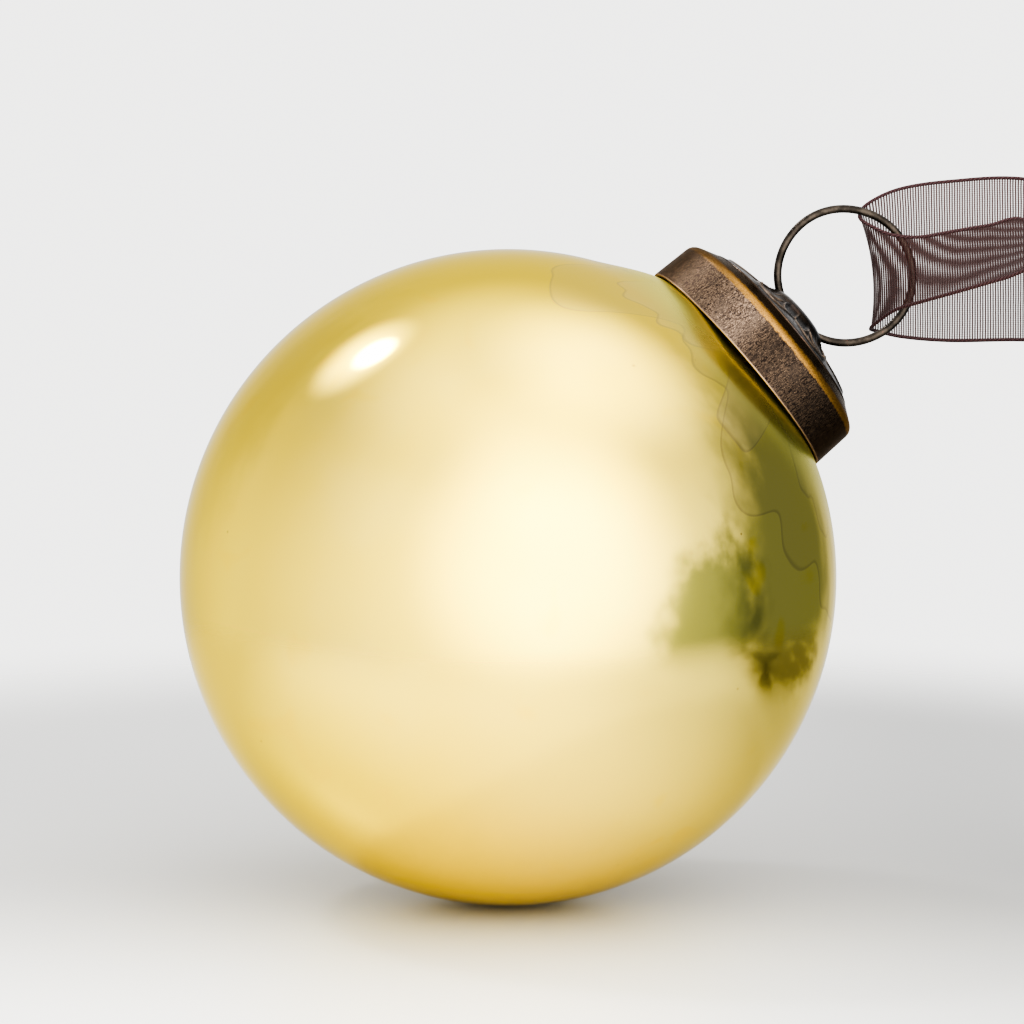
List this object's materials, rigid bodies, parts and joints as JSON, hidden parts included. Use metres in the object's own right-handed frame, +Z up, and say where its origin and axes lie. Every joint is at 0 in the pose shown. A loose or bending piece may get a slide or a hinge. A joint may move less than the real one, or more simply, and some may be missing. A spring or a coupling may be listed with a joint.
{
  "type": "glass ball ornament",
  "caption": "Glass ball ornament lying on its side, with a crowned metal cap, a wire hanging ring, an inner spring clip and a draped organza ribbon loop.",
  "frame": {"origin": "the spot on the glass where the ball touches the table it lies on", "axes": "+Z up, +X along the table under the leaning cap and ribbon, +Y away from the side that the ornament is seen from; the ornament's own axis leans 50.4 degrees from +Z and is turned 9.1 degrees from +X towards +Y"},
  "size_m": [0.2259, 0.1018, 0.1126],
  "materials": {
    "silvered_glass": "clear blown glass with a pale gold mirror coat on its inside, blotched and streaked near the neck",
    "clip_wire": "bare spring-steel wire",
    "band_metal": "dark speckled bronzing, worn to brass along the upper edge",
    "crown_metal": "glossy dark bronzing with a bluish tint",
    "ring_wire": "dark bronzed wire",
    "organza": "sheer burgundy-brown organza with corded edges"
  },
  "bodies": {
    "ball": {"glass_ball": "silvered_glass"},
    "clip": {"spring_clip": "clip_wire"},
    "cap": {"cap_band": "band_metal", "cap_crown": "crown_metal"},
    "ring": {"hanging_ring": "ring_wire", "ribbon_loop": "organza", "ribbon_knot": "organza", "ribbon_tail_front": "organza", "ribbon_tail_back": "organza"}
  },
  "joints": [
    {"name": "cap_pull", "type": "slide", "parent": "ball", "child": "clip", "axis": [0.7608, 0.1219, 0.6374], "range_m": [0, 0.032]},
    {"name": "cap_turn", "type": "hinge", "parent": "clip", "child": "cap", "pos_m": [-0.0011, 0.00015, 0.05229], "axis": [0.7608, 0.1219, 0.6374], "continuous": true},
    {"name": "ring_swing", "type": "hinge", "parent": "cap", "child": "ring", "pos_m": [0.04512, 0.00755, 0.09101], "axis": [0.648, -0.0877, -0.7566], "range_deg": [-70, 70]}
  ]
}
